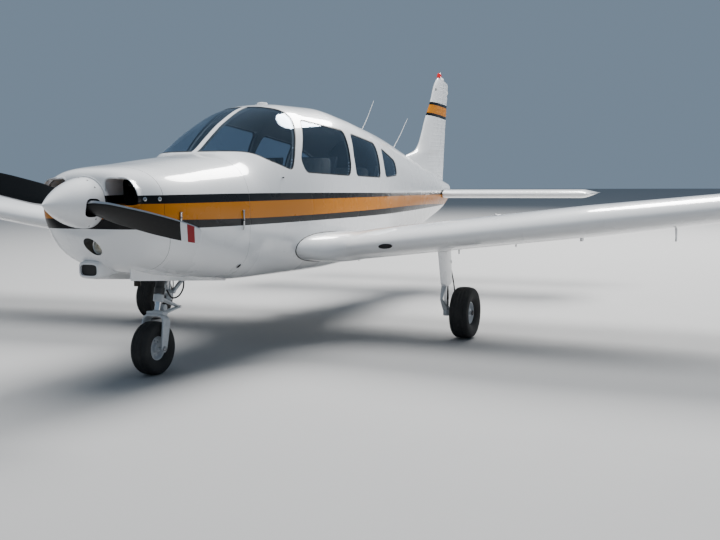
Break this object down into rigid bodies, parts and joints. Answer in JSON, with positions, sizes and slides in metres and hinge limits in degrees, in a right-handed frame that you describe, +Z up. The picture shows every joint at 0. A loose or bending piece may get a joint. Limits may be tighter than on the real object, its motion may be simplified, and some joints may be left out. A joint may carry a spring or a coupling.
{
  "type": "light aircraft",
  "caption": "Low-wing light aircraft with a tractor propeller, retractable tricycle gear shown down, hollow cabin with doors, hinged flaps, ailerons, rudder and all-moving tailplane.",
  "frame": {"origin": "centre of the bounding box on the ground, under the cabin, midway between the spinner's tip and the tail's edge", "axes": "+X towards the left wing tip, -Y towards the nose, +Z up"},
  "size_m": [10.8, 7.5, 2.64],
  "materials": {
    "white_paint": "gloss white paint on alloy",
    "white_plastic": "white painted composite",
    "alloy": "bare alloy sheet",
    "gear_paint": "light grey paint on alloy",
    "engine_metal": "rough cast metal",
    "blade_paint": "dark satin paint on alloy",
    "dark_trim": "dark matte plastic",
    "floor_trim": "carpeted board",
    "cloth": "woven cloth",
    "tinted_glass": "lightly tinted acrylic",
    "lamp_glass": "clear lens",
    "red_lens": "red lens",
    "tyre_rubber": "black rubber"
  },
  "bodies": {
    "airframe": {"nose_bowl": "white_plastic", "cowl_upper": "white_plastic", "cowl_lower": "white_plastic", "landing_light": "lamp_glass", "engine_block": "engine_metal", "firewall": "alloy", "cabin_upper": "white_paint", "cabin_lower": "white_paint", "cabin_floor": "floor_trim", "instrument_panel": "dark_trim", "seat_pads_left": "cloth", "seat_pads_right": "cloth", "bench_pads": "cloth", "tail_cone": "white_paint", "fin": "white_paint", "beacon": "red_lens", "nose_strut": "gear_paint", "windscreen_left": "tinted_glass", "windscreen_right": "tinted_glass", "window_left_1": "tinted_glass", "window_left_2": "tinted_glass", "window_left_3": "tinted_glass", "window_right_2": "tinted_glass", "window_right_3": "tinted_glass", "wing_left": "white_paint", "wing_right": "white_paint", "nose_door_left": "white_paint", "nose_door_right": "white_paint", "main_leg_left": "gear_paint", "main_leg_right": "gear_paint", "main_door_left": "white_paint", "main_door_right": "white_paint"},
    "propeller": {"propeller": "blade_paint", "spinner": "white_paint"},
    "nose_fork": {"nose_fork": "gear_paint"},
    "nose_wheel": {"nose_wheel": "gear_paint", "nose_tyre": "tyre_rubber"},
    "main_wheel_left": {"main_wheel_left": "gear_paint", "main_tyre_left": "tyre_rubber"},
    "main_wheel_right": {"main_wheel_right": "gear_paint", "main_tyre_right": "tyre_rubber"},
    "rudder": {"rudder": "white_paint"},
    "stabilator": {"stabilator": "white_paint"},
    "tab_left": {"tab_left": "white_paint"},
    "tab_right": {"tab_right": "white_paint"},
    "aileron_left": {"aileron_left": "white_paint"},
    "aileron_right": {"aileron_right": "white_paint"},
    "flap_left": {"flap_left": "white_paint"},
    "flap_right": {"flap_right": "white_paint"},
    "cabin_door": {"cabin_door": "white_paint", "door_window": "tinted_glass"},
    "baggage_door": {"baggage_door": "white_paint"}
  },
  "joints": [
    {"name": "propeller_spin", "type": "hinge", "parent": "airframe", "child": "propeller", "pos_m": [0, -3.45, 1.253], "axis": [0, 1, 0], "continuous": true},
    {"name": "nose_steering", "type": "hinge", "parent": "airframe", "child": "nose_fork", "pos_m": [0, -2.607, 0.5045], "axis": [0, 0.2334, 0.9724], "range_deg": [-30, 30]},
    {"name": "nose_wheel_spin", "type": "hinge", "parent": "nose_fork", "child": "nose_wheel", "pos_m": [0, -2.682, 0.192], "axis": [1, 0, 0], "continuous": true},
    {"name": "main_wheel_left_spin", "type": "hinge", "parent": "airframe", "child": "main_wheel_left", "pos_m": [1.607, -0.452, 0.22], "axis": [1, 0, 0], "continuous": true},
    {"name": "main_wheel_right_spin", "type": "hinge", "parent": "airframe", "child": "main_wheel_right", "pos_m": [-1.607, -0.452, 0.22], "axis": [1, 0, 0], "continuous": true},
    {"name": "rudder_hinge", "type": "hinge", "parent": "airframe", "child": "rudder", "pos_m": [0, 3.313, 1.368], "axis": [0, 0.1854, 0.9827], "range_deg": [-27, 27]},
    {"name": "stabilator_hinge", "type": "hinge", "parent": "airframe", "child": "stabilator", "pos_m": [0, 3.18, 1.133], "axis": [1, 0, 0], "range_deg": [-2, 14]},
    {"name": "tab_left_hinge", "type": "hinge", "parent": "stabilator", "child": "tab_left", "pos_m": [1, 3.635, 1.133], "axis": [1, 0, 0], "range_deg": [-2, 12]},
    {"name": "tab_right_hinge", "type": "hinge", "parent": "stabilator", "child": "tab_right", "pos_m": [-1, 3.635, 1.133], "axis": [1, 0, 0], "range_deg": [-2, 12]},
    {"name": "aileron_left_hinge", "type": "hinge", "parent": "airframe", "child": "aileron_left", "pos_m": [2.72, 0.21, 0.97414], "axis": [0.9925, -0.0456, 0.1138], "range_deg": [-15, 30]},
    {"name": "aileron_right_hinge", "type": "hinge", "parent": "airframe", "child": "aileron_right", "pos_m": [-2.72, 0.21, 0.97414], "axis": [0.9925, 0.0456, -0.1138], "range_deg": [-15, 30]},
    {"name": "flap_left_hinge", "type": "hinge", "parent": "airframe", "child": "flap_left", "pos_m": [0.662, 0.21, 0.73881], "axis": [-0.9935, 0, -0.1136], "range_deg": [0, 40]},
    {"name": "flap_right_hinge", "type": "hinge", "parent": "airframe", "child": "flap_right", "pos_m": [-0.662, 0.21, 0.73881], "axis": [-0.9935, 0, 0.1136], "range_deg": [0, 40]},
    {"name": "cabin_door_hinge", "type": "hinge", "parent": "airframe", "child": "cabin_door", "pos_m": [-0.59, -1.507, 1.05], "axis": [0.0649, 0, 0.9979], "range_deg": [0, 80]},
    {"name": "baggage_door_hinge", "type": "hinge", "parent": "airframe", "child": "baggage_door", "pos_m": [-0.552, 0.267, 1.12], "axis": [0, 0, 1], "range_deg": [0, 90]}
  ],
  "couplings": [
    {"joint": "tab_left_hinge", "follows": "stabilator_hinge", "ratio": 0.8},
    {"joint": "tab_right_hinge", "follows": "stabilator_hinge", "ratio": 0.8},
    {"joint": "flap_right_hinge", "follows": "flap_left_hinge", "ratio": 1}
  ]
}
